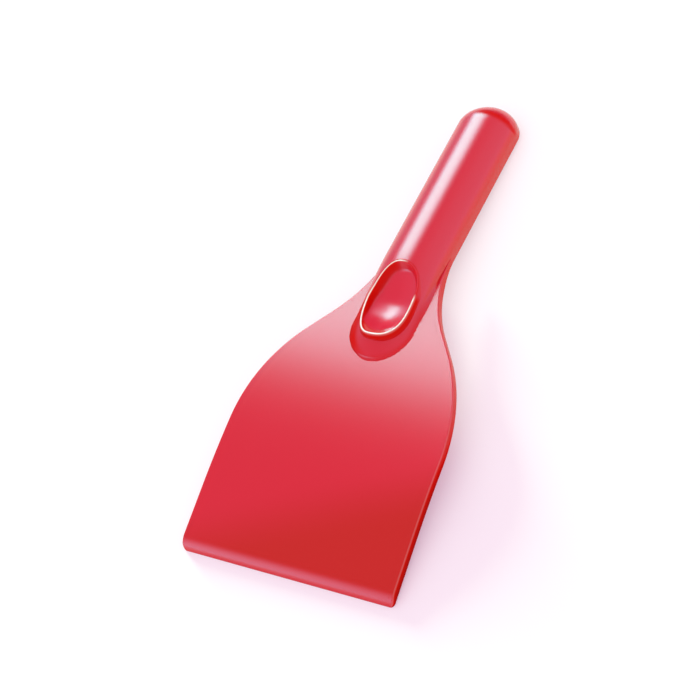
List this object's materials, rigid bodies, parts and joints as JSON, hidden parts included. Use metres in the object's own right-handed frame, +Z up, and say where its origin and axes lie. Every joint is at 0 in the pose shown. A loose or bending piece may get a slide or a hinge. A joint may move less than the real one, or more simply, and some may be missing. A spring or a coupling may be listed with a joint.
{
  "type": "ice scraper",
  "caption": "Windshield ice scraper with a wide fan-shaped bent blade and a hollow half-round handle that ends in a dished thumb rest.",
  "frame": {"origin": "centre of the footprint, on the surface the scraper lies on, face up on its scraping edge and the end of its handle", "axes": "+X across the blade, +Y from the scraping edge to the end of the handle, +Z up through the front face"},
  "size_m": [0.1, 0.216, 0.02],
  "materials": {
    "handle_plastic": "gloss",
    "blade_plastic": "satin"
  },
  "bodies": {
    "root": {"blade_panel": "blade_plastic", "left_side_rim": "blade_plastic", "right_side_rim": "blade_plastic", "scraping_edge": "blade_plastic", "handle_grip": "handle_plastic", "handle_end_cap": "handle_plastic", "thumb_housing": "handle_plastic", "thumb_dish": "handle_plastic", "thumb_rim": "handle_plastic", "handle_rib_1": "handle_plastic", "handle_rib_2": "handle_plastic", "handle_rib_3": "handle_plastic", "handle_rib_4": "handle_plastic"}
  },
  "joints": []
}
